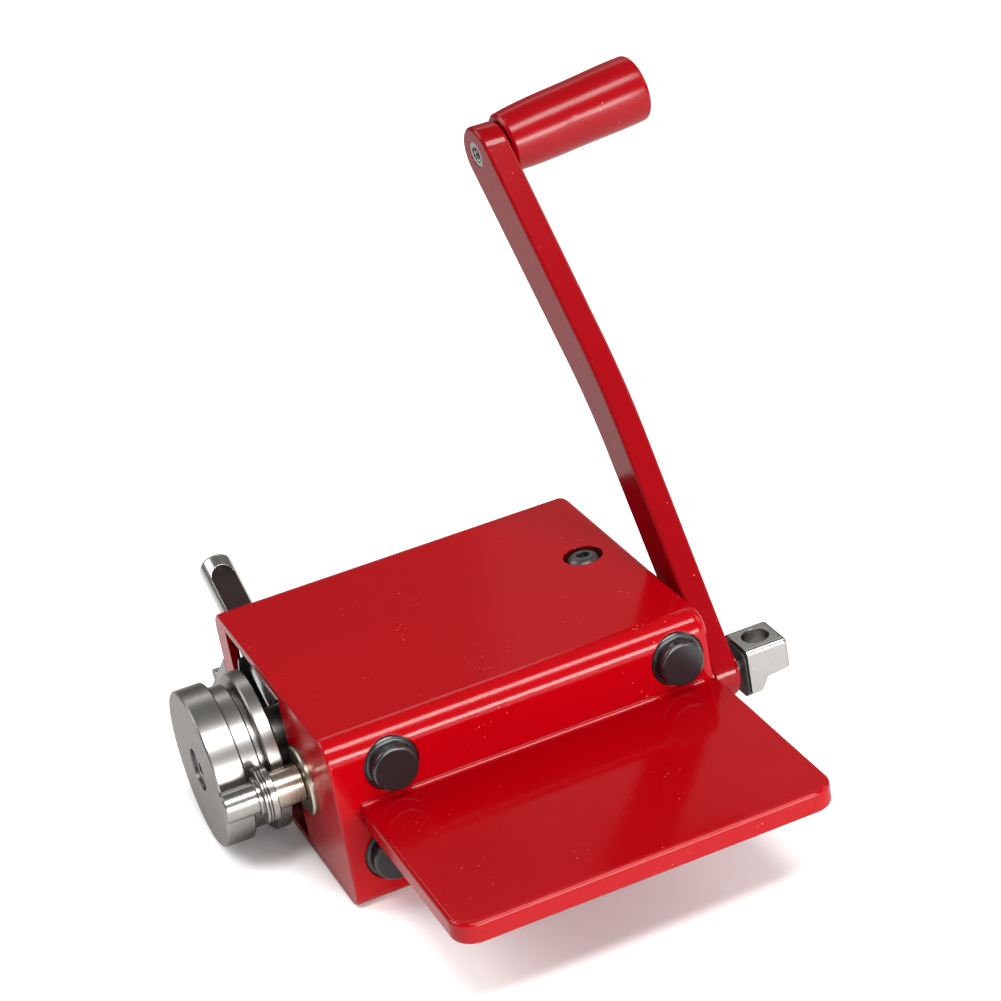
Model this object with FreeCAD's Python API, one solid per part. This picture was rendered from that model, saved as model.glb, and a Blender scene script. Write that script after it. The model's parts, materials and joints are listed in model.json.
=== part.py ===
import FreeCAD, Part
import math
import os

V = FreeCAD.Vector

# Hand cranked bead roller. Sizes are in millimetres.
# While it is built, x runs from the roller end of the housing, y from its front face to the rear,
# and z up from its base. Each piece is moved at export so that the base centre is the origin.

# Housing, a rectangular steel tube with one end closed
housing_length = 152.4
housing_depth = 133.0
housing_height = 70.0
wall = 4.0
end_wall = 6.0
corner_radius = 9.0
end_edge_radius = 4.5
open_edge_radius = 1.0

# Vise plate, welded to the front face
plate_reach = 93.0
plate_thickness = 8.5
plate_top = 43.0
plate_start = 8.2
plate_corner_radius = 9.0
plate_edge_radius = 1.5
weld_size = 1.6
weld_inset = 1.0

# Clearances
running_clearance = 0.05
side_clearance = 0.3
hand_clearance = 0.6

# Shaft axes, as distances from the front face and heights above or below the housing's middle
mandrel_y = 39.5
mandrel_rise = 3.0
roller_y = 79.5
roller_drop = 1.0
gear_module = 1.0
pinion_teeth = 17
gear_teeth = 32

# Bearing blocks inside the tube
block_length = 48.0
front_block_edge = 54.0
rear_block_depth = 11.0
pressure_block_start = 24.0
end_block_length = 28.0
end_block_depth = 84.0

# Small roller on the mandrel
tip_radius = 6.0
tip_end = -32.5
neck_radius = 7.5
neck_length = 1.4
ring_radius = 10.6
ring_start = -18.4
ring_end = -13.4
ring_groove = 0.6
ring_groove_pitch = 1.1
sleeve_radius = 7.3

# Mandrel shaft and its bearings
spigot_radius = 3.5
spigot_shoulder_radius = 5.0
mandrel_radius = 7.0
mandrel_tail_radius = 6.0
bushing_wall = 2.8
bushing_flange_radius = 13.6
bushing_flange = 2.0
bushing_chamfer = 0.7
tail_bushing_length = 16.0

# Big roller, three discs turned from one blank
disc_radius = 31.2
disc_start = -30.4
disc_end = -18.8
middle_disc_radius = 28.2
middle_disc_end = -12.0
groove_radius = 25.5
groove_end = -9.8
rear_disc_radius = 31.4
rear_disc_end = -4.0
disc_chamfer = 0.6
roller_pin_radius = 7.0
roller_bush_wall = 2.0
counterbore_radius = 8.5
counterbore_depth = 5.5
roller_screw_drop = 1.2
roller_washer = 0.8

# Eccentric shaft and its lever
throw = 2.4
lever_swing = 24.0
lever_lean = 65.4
lever_x = 11.2
lever_radius = 6.8
lever_reach = 90.4
lever_spigot_radius = 5.0
lever_spigot_depth = 7.0
lever_tip_radius = 2.2
hub_radius = 12.0
journal_radius = 11.0
eccentric_wall = 3.0
collar_radius = 17.0
collar_width = 7.0
thumb_width = 10.0
thumb_depth = 2.3
thumb_start = 46.0
thumb_end = 83.5
shield_radius = 36.0
shield_thickness = 1.5
shield_inset = 3.0
shield_above = 9.0
shield_below = 32.0

# Gears
gear_width = 12.0
gear_gap = 7.4
pressure_angle = 20.0
tooth_backlash = 0.16
key_width = 4.0
pinion_pin_radius = 1.5
clip_thickness = 1.2
clip_rim = 3.0
clip_groove = 1.0
clip_opening = 4.0

# Crank
crank_radius = 6.0
pinion_seat_radius = 4.5
crank_stub_radius = 3.4
arm_lean = 35.0
arm_length = 219.0
arm_foot_width = 20.0
arm_head_width = 25.0
arm_thickness = 10.5
arm_bend_start = 95.0
arm_bend_length = 40.0
arm_tilt = 5.0
arm_edge = 1.6
arm_boss_radius = 8.0
arm_boss = 0.8
thrust_flange = 1.2
crank_flange = 1.0
crank_flange_radius = 11.0

# Grip and its spindle
grip_length = 61.0
grip_root_radius = 12.1
grip_belly_radius = 13.2
grip_waist_radius = 13.3
grip_end_radius = 13.7
grip_gap = 1.0
grip_rise = 1.4
grip_cant = 1.2
spindle_radius = 4.0
spindle_head_radius = 7.0
spindle_head = 4.0
grip_nut_radius = 5.2
grip_nut_bore = 3.3
grip_nut_depth = 5.0
grip_nut_inset = 0.2
grip_root_edge = 1.2
grip_end_edge = 2.2
grip_head_gap = 1.2

# Drive block on the end of the crank shaft
drive_block_length = 17.4
drive_block_width = 18.6
drive_block_top = 9.6
drive_block_low = 2.6
drive_block_skirt = 8.6
drive_block_edge = 2.0
drive_block_flare = 7.3
drive_block_foot = 4.0
cross_hole_radius = 5.4
cross_hole_inset = 8.3
boot_depth = 2.0
boot_rim = 1.5
boot_corner_radius = 4.0
boot_drop = 11.4
boot_lip = 0.9
block_gap = 3.3
stub_depth = 2.4

# Screws and caps
cap_radius = 10.6
cap_recess = 2.0
cap_rise = 5.2
cap_boss_radius = 8.8
cap_face_radius = 7.7
cap_chamfer = 0.5
cap_foot = 0.7
cap_edge = 1.0
screw_radius = 4.0
screw_head_radius = 6.6
screw_head = 3.8
screw_length = 18.0
socket_size = 5.0
small_socket_size = 3.6
socket_depth = 2.2
small_socket_depth = 1.6
top_recess_radius = 7.9
top_recess_depth = 5.5
top_head_radius = 6.7
top_head = 5.8
top_screw_inset = 17.4
top_screw_y = 73.5
base_screw_radius = 3.0
base_screw_inset = 9.0
set_screw_radius = 2.0
set_screw_inset = 0.8
base_screw_head_radius = 5.6
bracket_screw_head = 2.4
bracket_screw_head_radius = 5.0
upper_screw_drop = 14.3
lower_screw_z = 20.3
left_screw_x = 23.2
low_left_screw_x = 16.7
right_screw_inset = 14.5

# Lever stop bracket on the rear face
bracket_thickness = 3.0
bracket_reach = 36.0
bracket_top = 47.0
bracket_foot = 6.0
bracket_foot_height = 8.0
bracket_tip_height = 11.0
bracket_flange = 22.0
stop_pin_radius = 3.0
stop_pin_reach = 25.0

# Sizes worked out from the ones above
clear_height = housing_height - wall
clear_depth = housing_depth - wall
end_x = housing_length - end_wall
rear_block_edge = clear_depth - rear_block_depth
shaft_z = housing_height / 2
mandrel_z = shaft_z + mandrel_rise
roller_z = shaft_z - roller_drop
upper_screw_z = housing_height - upper_screw_drop
right_screw_x = housing_length - right_screw_inset
top_screw_x = housing_length - top_screw_inset
gear_start = end_x - end_block_length - gear_gap - gear_width
gear_distance = gear_module * (pinion_teeth + gear_teeth) / 2
crank_y = mandrel_y - math.sqrt(gear_distance ** 2 - mandrel_rise ** 2)
gear_slope = math.atan2(mandrel_rise, mandrel_y - crank_y)
half_swing = math.radians(lever_swing / 2)
journal_y = roller_y - throw * math.sin(half_swing)
journal_z = roller_z + throw * math.cos(half_swing)
flange_x = housing_length + crank_flange
arm_x = flange_x + side_clearance
boss_x = arm_x + arm_thickness + arm_boss
block_x = boss_x + block_gap
tilt = math.radians(arm_tilt)
bend_radius = arm_bend_length / tilt


def box(x0, x1, y0, y1, z0, z1):
    return Part.makeBox(x1 - x0, y1 - y0, z1 - z0, V(x0, y0, z0))


def rod(x0, x1, radius, y, z):
    return Part.makeCylinder(radius, x1 - x0, V(x0, y, z), V(1, 0, 0))


def ring(x0, x1, outer, inner, y, z):
    return rod(x0, x1, outer, y, z).cut(rod(x0, x1, inner, y, z))


def turned(outline, y, z):
    # Revolves an outline of (x, radius) corners about an axis along x.
    corners = [V(x, y + radius, z) for x, radius in outline]
    face = Part.Face(Part.makePolygon(corners + corners[:1]))
    return face.revolve(V(0, y, z), V(1, 0, 0), 360)


def prism(outline, x0, x1):
    # Extrudes a side view of (y, z) corners along x.
    corners = [V(x0, y, z) for y, z in outline]
    face = Part.Face(Part.makePolygon(corners + corners[:1]))
    return face.extrude(V(x1 - x0, 0, 0))


def hex_prism(centre, axis, across, depth):
    # Makes a hexagonal bar that starts at centre and runs along axis.
    radius = across / math.sqrt(3)
    turns = [math.radians(60 * i) for i in range(6)]
    corners = [V(radius * math.cos(t), radius * math.sin(t), 0) for t in turns]
    solid = Part.Face(Part.makePolygon(corners + corners[:1])).extrude(V(0, 0, depth))
    solid.Placement = FreeCAD.Placement(centre, FreeCAD.Rotation(V(0, 0, 1), axis))
    return solid


def round_edges(shape, radius, wanted):
    return shape.makeFillet(radius, [edge for edge in shape.Edges if wanted(edge)])


def runs_along(edge, axis):
    ends = edge.Vertexes
    if len(ends) < 2 or edge.Curve.TypeId != "Part::GeomLine":
        return False
    way = ends[1].Point - ends[0].Point
    return abs(abs(way.normalize().dot(axis)) - 1) < 1e-6


def lies_at_x(edge, x):
    box_of = edge.BoundBox
    return abs(box_of.XMin - x) < 1e-4 and abs(box_of.XMax - x) < 1e-4


def lever_direction(swing):
    lean = math.radians(lever_lean + swing)
    return V(0, math.sin(lean), math.cos(lean))


def make_lever_path():
    # The fan that the lever sweeps in side view, from open to closed, with room for the hand fit.
    half = lever_radius + hand_clearance
    reach = 2 * housing_depth
    centre = V(0, journal_y, journal_z)
    opened = lever_direction(0)
    closed = lever_direction(lever_swing)
    above = V(0, -opened.z, opened.y) * half
    below = V(0, closed.z, -closed.y) * half
    points = [centre + above, centre + above + opened * reach]
    points += [centre + below + closed * reach, centre + below]
    outline = [(p.y, p.z) for p in points]
    return prism(outline, lever_x - half, lever_x + half)


def screw_places():
    return [
        (left_screw_x, upper_screw_z),
        (low_left_screw_x, lower_screw_z),
        (right_screw_x, upper_screw_z),
        (right_screw_x, lower_screw_z),
    ]


def base_screw_places():
    pressure_x = (pressure_block_start + block_length) / 2
    end_block_x = end_x - end_block_length / 2
    return [
        (pressure_x, front_block_edge + base_screw_inset),
        (pressure_x, rear_block_edge - base_screw_inset),
        (end_block_x, end_block_depth / 2 + base_screw_inset),
        (end_block_x, end_block_depth - base_screw_inset),
    ]


def bracket_screw_places():
    return [(bracket_flange / 2 + bracket_thickness, bracket_foot + bracket_foot_height / 2)]


def along_y(x, z, y0, y1, radius):
    return Part.makeCylinder(radius, y1 - y0, V(x, y0, z), V(0, 1, 0))


def along_z(x, y, z0, z1, radius):
    return Part.makeCylinder(radius, z1 - z0, V(x, y, z0), V(0, 0, 1))


# Housing and plate

def make_housing():
    body = box(0, housing_length, 0, housing_depth, 0, housing_height)
    body = round_edges(body, corner_radius, lambda e: runs_along(e, V(1, 0, 0)))
    body = round_edges(body, end_edge_radius, lambda e: lies_at_x(e, housing_length))
    body = round_edges(body, open_edge_radius, lambda e: lies_at_x(e, 0))
    inside = box(-1, end_x, wall, clear_depth, wall, clear_height)
    inside_radius = max(corner_radius - wall, 1.0)
    inside = round_edges(inside, inside_radius, lambda e: runs_along(e, V(1, 0, 0)))
    body = body.cut(inside).cut(make_lever_path())
    for x, z in screw_places():
        body = body.cut(along_y(x, z, 0, cap_recess, cap_radius))
        body = body.cut(along_y(x, z, 0, wall, screw_radius))
    body = body.cut(along_z(top_screw_x, top_screw_y, clear_height, housing_height, top_recess_radius))
    for x, y in base_screw_places():
        body = body.cut(base_screw_shape(x, y))
    for x, z in bracket_screw_places():
        body = body.cut(along_y(x, z, clear_depth, housing_depth, base_screw_radius))
    crank_hole = rod(end_x, housing_length, crank_radius + bushing_wall, crank_y, shaft_z)
    return body.cut(crank_hole)


def make_vise_plate():
    plate = box(plate_start, housing_length, -plate_reach, 0, plate_top - plate_thickness, plate_top)

    def at_front_corner(edge):
        return runs_along(edge, V(0, 0, 1)) and edge.BoundBox.YMax < -plate_reach / 2

    plate = round_edges(plate, plate_corner_radius, at_front_corner)

    def on_rim(edge):
        flat = edge.BoundBox.ZLength < 1e-4
        return flat and edge.BoundBox.YMin < -1e-3

    plate = round_edges(plate, plate_edge_radius, on_rim)
    beads = [weld_bead(plate_top, 1), weld_bead(plate_top - plate_thickness, -1)]
    return plate.fuse(beads).removeSplitter()


def weld_bead(z, side):
    # A hollow fillet weld in the corner between the plate and the housing's front face.
    weld_start = plate_start + weld_inset
    near = V(weld_start, -weld_size, z)
    top = V(weld_start, 0, z + side * weld_size)
    corner = V(weld_start, 0, z)
    belly = V(weld_start, -weld_size * 0.4, z + side * weld_size * 0.4)
    face = Part.Face(Part.Wire([
        Part.makeLine(corner, near), Part.Arc(near, belly, top).toShape(), Part.makeLine(top, corner),
    ]))
    return face.extrude(V(housing_length - end_edge_radius - weld_inset - weld_start, 0, 0))


# Bearing blocks

def make_front_block():
    block = box(0, block_length, wall, front_block_edge, wall, clear_height)
    block = round_edges(block, max(corner_radius - wall, 1.0),
                        lambda e: runs_along(e, V(1, 0, 0)) and e.BoundBox.YMax < wall + 1e-3)
    block = block.cut(rod(0, block_length, mandrel_radius + bushing_wall, mandrel_y, mandrel_z))
    for x, z in screw_places()[:2]:
        block = block.cut(along_y(x, z, wall, cap_recess + screw_length, screw_radius))
    return block


def make_rear_block():
    block = box(0, block_length, rear_block_edge, clear_depth, wall, clear_height)
    block = round_edges(block, max(corner_radius - wall, 1.0),
                        lambda e: runs_along(e, V(1, 0, 0)) and e.BoundBox.YMin > clear_depth - 1e-3)
    return block.cut(make_lever_path())


def make_pressure_block():
    block = box(pressure_block_start, block_length, front_block_edge, rear_block_edge, wall, clear_height)
    bore = rod(pressure_block_start, block_length, journal_radius + eccentric_wall, journal_y, journal_z)
    block = block.cut(bore)
    for x, y in base_screw_places()[:2]:
        block = block.cut(base_screw_shape(x, y))
    return block


def make_end_block():
    start = end_x - end_block_length
    block = box(start, end_x, wall, end_block_depth, wall, clear_height)
    block = round_edges(block, max(corner_radius - wall, 1.0),
                        lambda e: runs_along(e, V(1, 0, 0)) and e.BoundBox.YMax < wall + 1e-3)
    block = block.cut(rod(start, end_x, crank_radius + bushing_wall, crank_y, shaft_z))
    tail_outer = mandrel_tail_radius + bushing_wall
    block = block.cut(rod(start, start + tail_bushing_length, tail_outer, mandrel_y, mandrel_z))
    for x, z in screw_places()[2:]:
        block = block.cut(along_y(x, z, wall, cap_recess + screw_length, screw_radius))
    for x, y in base_screw_places()[2:]:
        block = block.cut(base_screw_shape(x, y))
    seat = housing_height - top_recess_depth
    block = block.cut(along_z(top_screw_x, top_screw_y, seat, clear_height, top_recess_radius))
    return block.cut(along_z(top_screw_x, top_screw_y, seat - screw_length, seat, screw_radius))


# Bushings

def make_mandrel_bushing():
    inner = mandrel_radius + running_clearance
    outer = mandrel_radius + bushing_wall
    lip = bushing_flange_radius
    face = -bushing_flange
    c = bushing_chamfer
    return turned([
        (face, inner + c), (face, lip - c), (face + c, lip), (0, lip), (0, outer),
        (block_length, outer), (block_length, inner), (face + c, inner),
    ], mandrel_y, mandrel_z)


def make_tail_bushing():
    start = end_x - end_block_length
    inner = mandrel_tail_radius + running_clearance
    outer = mandrel_tail_radius + bushing_wall
    return ring(start, start + tail_bushing_length, outer, inner, mandrel_y, mandrel_z)


def make_crank_bushing():
    inner = crank_radius + running_clearance
    outer = crank_radius + bushing_wall
    sleeve = ring(end_x - end_block_length, housing_length, outer, inner, crank_y, shaft_z)
    flange = ring(housing_length, flange_x, crank_flange_radius, inner, crank_y, shaft_z)
    return sleeve.fuse(flange).removeSplitter()


def make_eccentric_bushing():
    inner = journal_radius + running_clearance
    outer = journal_radius + eccentric_wall
    sleeve = ring(pressure_block_start, block_length, outer, inner, journal_y, journal_z)
    lip_start = pressure_block_start - thrust_flange
    lip = ring(lip_start, pressure_block_start, outer + eccentric_wall, inner, journal_y, journal_z)
    return sleeve.fuse(lip).removeSplitter()


# Screws and caps

def make_block_screws():
    screws = []
    for x, z in screw_places():
        shank = along_y(x, z, cap_recess, cap_recess + screw_length, screw_radius)
        head = along_y(x, z, cap_recess - screw_head, cap_recess, screw_head_radius)
        socket = hex_prism(V(x, cap_recess - screw_head, z), V(0, 1, 0), socket_size, socket_depth)
        screws.append(head.fuse(shank).removeSplitter().cut(socket))
    return Part.makeCompound(screws)


def make_plug_caps():
    # A hollow cap: a lip sunk in the recess, a straight boss and a flat face over the screw head.
    caps = []
    bore = screw_head_radius + hand_clearance
    roof = cap_recess - screw_head - hand_clearance
    for x, z in screw_places():
        start = V(bore, cap_recess, 0)
        rim = V(cap_radius, cap_recess, 0)
        lip = V(cap_radius, cap_chamfer, 0)
        brow = V(cap_radius - cap_chamfer, 0, 0)
        hollow = V(cap_boss_radius + cap_foot / 2, -cap_foot / 4, 0)
        foot = V(cap_boss_radius, -cap_foot, 0)
        side = V(cap_boss_radius, cap_edge - cap_rise, 0)
        turn = V(cap_boss_radius - 0.4 * cap_edge, 0.25 * cap_edge - cap_rise, 0)
        face_rim = V(cap_face_radius, -cap_rise, 0)
        lines = [
            Part.makeLine(start, rim),
            Part.makeLine(rim, lip),
            Part.makeLine(lip, brow),
            Part.Arc(brow, hollow, foot).toShape(),
            Part.makeLine(foot, side),
            Part.Arc(side, turn, face_rim).toShape(),
            Part.makeLine(face_rim, V(0, -cap_rise, 0)),
            Part.makeLine(V(0, -cap_rise, 0), V(0, roof, 0)),
            Part.makeLine(V(0, roof, 0), V(bore, roof, 0)),
            Part.makeLine(V(bore, roof, 0), start),
        ]
        cap = Part.Face(Part.Wire(lines)).revolve(V(0, 0, 0), V(0, 1, 0), 360)
        cap.translate(V(x, 0, z))
        caps.append(cap)
    return Part.makeCompound(caps)


def make_top_screw():
    # A button head: a short side, a domed top and a hexagonal socket.
    seat = housing_height - top_recess_depth
    rim = V(top_head_radius, 0, top_head * 0.45)
    brow = V(top_head_radius * 0.8, 0, top_head * 0.85)
    crown = V(socket_size * 0.6, 0, top_head)
    lines = [
        Part.makeLine(V(0, 0, 0), V(top_head_radius, 0, 0)),
        Part.makeLine(V(top_head_radius, 0, 0), rim),
        Part.Arc(rim, brow, crown).toShape(),
        Part.makeLine(crown, V(0, 0, top_head)),
        Part.makeLine(V(0, 0, top_head), V(0, 0, 0)),
    ]
    head = Part.Face(Part.Wire(lines)).revolve(V(0, 0, 0), V(0, 0, 1), 360)
    head.translate(V(top_screw_x, top_screw_y, seat))
    shank = along_z(top_screw_x, top_screw_y, seat - screw_length, seat, screw_radius)
    crown_middle = V(top_screw_x, top_screw_y, seat + top_head)
    socket = hex_prism(crown_middle, V(0, 0, -1), socket_size, socket_depth)
    return head.fuse(shank).removeSplitter().cut(socket)


def base_screw_shape(x, y):
    shank = along_z(x, y, 0, screw_length, base_screw_radius)
    head_height = base_screw_head_radius - base_screw_radius
    head = Part.makeCone(base_screw_head_radius, base_screw_radius, head_height, V(x, y, 0), V(0, 0, 1))
    return shank.fuse(head).removeSplitter()


def make_base_screws():
    screws = []
    for x, y in base_screw_places():
        socket = hex_prism(V(x, y, 0), V(0, 0, 1), small_socket_size, socket_depth)
        screws.append(base_screw_shape(x, y).cut(socket))
    return Part.makeCompound(screws)


# Lever stop bracket

def make_stop_bracket():
    rear = housing_depth
    foot_top = bracket_foot + bracket_foot_height
    web = prism([
        (rear, bracket_foot), (rear + bracket_reach, bracket_foot),
        (rear + bracket_reach, bracket_foot + bracket_tip_height), (rear, bracket_top),
    ], 0, bracket_thickness)
    foot = box(0, bracket_flange, rear, rear + bracket_thickness, bracket_foot, foot_top)
    bracket = web.fuse(foot).removeSplitter()
    for x, z in bracket_screw_places():
        bracket = bracket.cut(along_y(x, z, rear, rear + bracket_thickness, base_screw_radius))
    y, z = stop_pin_place()
    return bracket.cut(rod(0, bracket_thickness, stop_pin_radius, y, z))


def stop_pin_place():
    # The pin stands just under the lever when it is fully closed.
    closed = lever_direction(lever_swing)
    across = V(0, closed.z, -closed.y)
    distance = (housing_depth + stop_pin_reach - journal_y) / closed.y
    centre = V(0, journal_y, journal_z) + closed * distance
    centre += across * (lever_radius + stop_pin_radius + side_clearance)
    return centre.y, centre.z


def make_stop_pin():
    y, z = stop_pin_place()
    return rod(0, lever_x + lever_radius, stop_pin_radius, y, z)


def make_bracket_screw():
    screws = []
    rear = housing_depth + bracket_thickness
    for x, z in bracket_screw_places():
        shank = along_y(x, z, clear_depth, rear, base_screw_radius)
        head = along_y(x, z, rear, rear + bracket_screw_head, bracket_screw_head_radius)
        crown = V(x, rear + bracket_screw_head, z)
        socket = hex_prism(crown, V(0, -1, 0), small_socket_size, small_socket_depth)
        screws.append(shank.fuse(head).removeSplitter().cut(socket))
    return Part.makeCompound(screws)


# Gears

def tooth_flank(teeth, steps=4):
    # Points of an involute flank as (radius, half angle of the tooth), from root to tip.
    pitch = gear_module * teeth / 2
    base = pitch * math.cos(math.radians(pressure_angle))
    tip = pitch + gear_module
    start = max(base, pitch - gear_module)
    flat = math.tan(math.radians(pressure_angle)) - math.radians(pressure_angle)
    half = math.pi / (2 * teeth) - tooth_backlash / (2 * pitch)
    points = []
    for i in range(steps + 1):
        radius = start + (tip - start) * i / steps
        angle = math.acos(min(1.0, base / radius))
        points.append((radius, half + flat - (math.tan(angle) - angle)))
    return points


def make_gear_blank(teeth, turn, x0, x1, y, z):
    # A spur gear whose first tooth points along y, turned up by the given angle.
    root = gear_module * teeth / 2 - 1.25 * gear_module
    flank = tooth_flank(teeth)
    outline = []
    for i in range(teeth):
        middle = 2 * math.pi * i / teeth + turn
        outline.append((root, middle - flank[0][1]))
        outline += [(radius, middle - half) for radius, half in flank]
        outline += [(radius, middle + half) for radius, half in reversed(flank)]
        outline.append((root, middle + flank[0][1]))
    corners = [(y + r * math.cos(a), z + r * math.sin(a)) for r, a in outline]
    return prism(corners, x0, x1)


def make_pinion():
    x1 = gear_start + gear_width
    gear = make_gear_blank(pinion_teeth, gear_slope, gear_start, x1, crank_y, shaft_z)
    return gear.cut(rod(gear_start, x1, pinion_seat_radius, crank_y, shaft_z)).cut(pinion_pin_shape())


def pinion_pin_shape():
    # The pin ends just below the spaces between the teeth.
    reach = gear_module * (pinion_teeth / 2 - 1.5)
    middle = gear_start + gear_width / 2
    return along_z(middle, crank_y, shaft_z - reach, shaft_z + reach, pinion_pin_radius)


def key_shape():
    # The key lies half in the shaft and half in the gear, on top of the shaft.
    middle = mandrel_z + mandrel_radius
    half = key_width / 2
    gear_end = gear_start + gear_width
    return box(gear_start, gear_end, mandrel_y - half, mandrel_y + half, middle - half, middle + half)


def make_driven_gear():
    x1 = gear_start + gear_width
    # A space of this gear faces the pinion's tooth on the line between the two shafts.
    turn = gear_slope + math.pi + math.pi / gear_teeth
    gear = make_gear_blank(gear_teeth, turn, gear_start, x1, mandrel_y, mandrel_z)
    return gear.cut(rod(gear_start, x1, mandrel_radius, mandrel_y, mandrel_z)).cut(key_shape())


# Mandrel and small roller

def make_mandrel_shaft():
    step = gear_start + gear_width
    tail_end = end_x - end_block_length + tail_bushing_length - side_clearance
    shape = turned([
        (tip_end, 0), (tip_end, spigot_radius),
        (ring_end, spigot_radius), (ring_end, spigot_shoulder_radius),
        (0, spigot_shoulder_radius), (0, mandrel_radius), (step, mandrel_radius),
        (step, mandrel_tail_radius), (tail_end, mandrel_tail_radius), (tail_end, 0),
    ], mandrel_y, mandrel_z)
    return shape.cut(key_shape()).cut(mandrel_clip_shape())


def mandrel_clip_shape():
    x0 = block_length + side_clearance
    inner = mandrel_radius - clip_groove
    return ring(x0, x0 + clip_thickness, mandrel_radius + clip_rim, inner, mandrel_y, mandrel_z)


def clip_with_gap(shape, y, z):
    # A retaining ring is open at the bottom so that it can be sprung on.
    around = shape.BoundBox
    half = clip_opening / 2
    gap = box(around.XMin, around.XMax, y - half, y + half, around.ZMin, z)
    return shape.cut(gap)


def make_small_roller():
    # A plain tip, a short neck and a shoulder ring with two fine grooves near its outer side.
    neck = ring_start - neck_length
    half = ring_groove / 2
    outline = [
        (tip_end, spigot_radius), (tip_end, tip_radius - 0.5), (tip_end + 0.5, tip_radius),
        (neck, tip_radius), (neck, neck_radius), (ring_start, neck_radius),
        (ring_start, ring_radius - half), (ring_start + half, ring_radius),
    ]
    for turn in (1, 2):
        middle = ring_start + turn * ring_groove_pitch
        floor = ring_radius - ring_groove
        outline += [(middle - half, ring_radius), (middle, floor), (middle + half, ring_radius)]
    outline += [(ring_end - half, ring_radius), (ring_end, ring_radius - half), (ring_end, spigot_radius)]
    return turned(outline, mandrel_y, mandrel_z)


def make_sleeve():
    end = -bushing_flange - side_clearance
    return ring(ring_end, end, sleeve_radius, spigot_shoulder_radius, mandrel_y, mandrel_z)


# Eccentric shaft, lever and big roller

def make_eccentric_shaft():
    hub_start = rear_disc_end + side_clearance
    hub_end = pressure_block_start - thrust_flange - side_clearance
    pin_end = disc_start + counterbore_depth - side_clearance
    collar_end = block_length + side_clearance + collar_width
    hub = rod(hub_start, hub_end, hub_radius, journal_y, journal_z)
    journal = rod(hub_end, collar_end, journal_radius, journal_y, journal_z)
    pin = rod(pin_end, hub_start, roller_pin_radius, roller_y, roller_z)
    shape = hub.fuse([journal, pin]).removeSplitter()
    thread = rod(pin_end, pin_end + screw_length, base_screw_radius, roller_y, roller_z)
    return shape.cut(thread).cut(lever_spigot())


def lever_spigot():
    way = lever_direction(0)
    centre = V(lever_x, journal_y, journal_z) + way * (hub_radius - lever_spigot_depth)
    return Part.makeCylinder(lever_spigot_radius, lever_spigot_depth + 2, centre, way)


def lever_bar():
    way = lever_direction(0)
    start = hub_radius + side_clearance
    foot = V(lever_x, journal_y, journal_z) + way * start
    return Part.makeCylinder(lever_radius, lever_reach - start, foot, way)


def make_lever():
    way = lever_direction(0)
    centre = V(lever_x, journal_y, journal_z)
    bar = lever_bar()
    tip = centre + way * lever_reach

    def at_tip(edge):
        return edge.Curve.TypeId == "Part::GeomCircle" and (edge.Curve.Center - tip).Length < 1e-4

    bar = round_edges(bar, lever_tip_radius, at_tip).fuse(lever_spigot()).removeSplitter()
    # The thumb flat is milled into the side that faces up and forward, with a round end.
    up = V(0, -way.z, way.y)
    floor = centre + up * (lever_radius - thumb_depth)
    near = thumb_start + thumb_width / 2
    far = thumb_end - thumb_width / 2
    half = thumb_width / 2
    slot = Part.makeBox(thumb_width, far - near, thumb_depth * 2)
    slot.Placement = FreeCAD.Placement(
        floor + way * near - V(half, 0, 0), FreeCAD.Rotation(V(1, 0, 0), way, up, "XYZ"))
    for distance in (near, far):
        slot = slot.fuse(Part.makeCylinder(half, thumb_depth * 2, floor + way * distance, up))
    return bar.cut(slot.removeSplitter())


def make_slot_shield():
    # A curved strip around the lever that keeps the slot in the rear wall covered from inside.
    x0 = lever_x - lever_radius - hand_clearance - shield_inset
    x1 = lever_x + lever_radius + hand_clearance + side_clearance
    outer = shield_radius + shield_thickness
    strip = ring(x0, x1, outer, shield_radius, journal_y, journal_z)
    centre = V(0, journal_y, journal_z)
    first = lever_direction(-shield_above)
    last = lever_direction(shield_below)
    reach = 2 * outer
    middle = lever_direction((shield_below - shield_above) / 2)
    points = [centre, centre + first * reach, centre + middle * reach, centre + last * reach]
    strip = strip.common(prism([(p.y, p.z) for p in points], x0, x1))
    return strip.cut(lever_bar())


def make_eccentric_collar():
    start = block_length + side_clearance
    shape = ring(start, start + collar_width, collar_radius, journal_radius, journal_y, journal_z)
    middle = V(start + collar_width / 2, journal_y, journal_z)
    return shape.cut(Part.makeCylinder(set_screw_radius, 2 * collar_radius, middle, V(0, 0, 1)))


def make_collar_screw():
    middle = V(block_length + side_clearance + collar_width / 2, journal_y, journal_z)
    return set_screw(middle, V(0, 0, 1), journal_radius, collar_radius - set_screw_inset)


def set_screw(centre, way, inner, outer):
    # A headless screw from the inner to the outer distance along its way, with a hexagonal socket.
    screw = Part.makeCylinder(set_screw_radius, outer - inner, centre + way * inner, way)
    return screw.cut(hex_prism(centre + way * outer, way * -1, set_screw_radius, small_socket_depth))


def make_roller_screw():
    # A wide countersunk head that lies just below the big roller's face, on a washer.
    seat = disc_start + counterbore_depth - side_clearance
    face = disc_start + roller_screw_drop
    head_radius = counterbore_radius - hand_clearance
    washer = rod(seat - roller_washer, seat, head_radius, roller_y, roller_z)
    height = seat - roller_washer - face
    neck = head_radius - height
    head = Part.makeCone(head_radius, neck, height, V(face, roller_y, roller_z), V(1, 0, 0))
    shank = rod(seat, seat + screw_length, base_screw_radius, roller_y, roller_z)
    socket = hex_prism(V(face, roller_y, roller_z), V(1, 0, 0), socket_size, socket_depth)
    return washer.fuse([head, shank]).removeSplitter().cut(socket)


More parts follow.
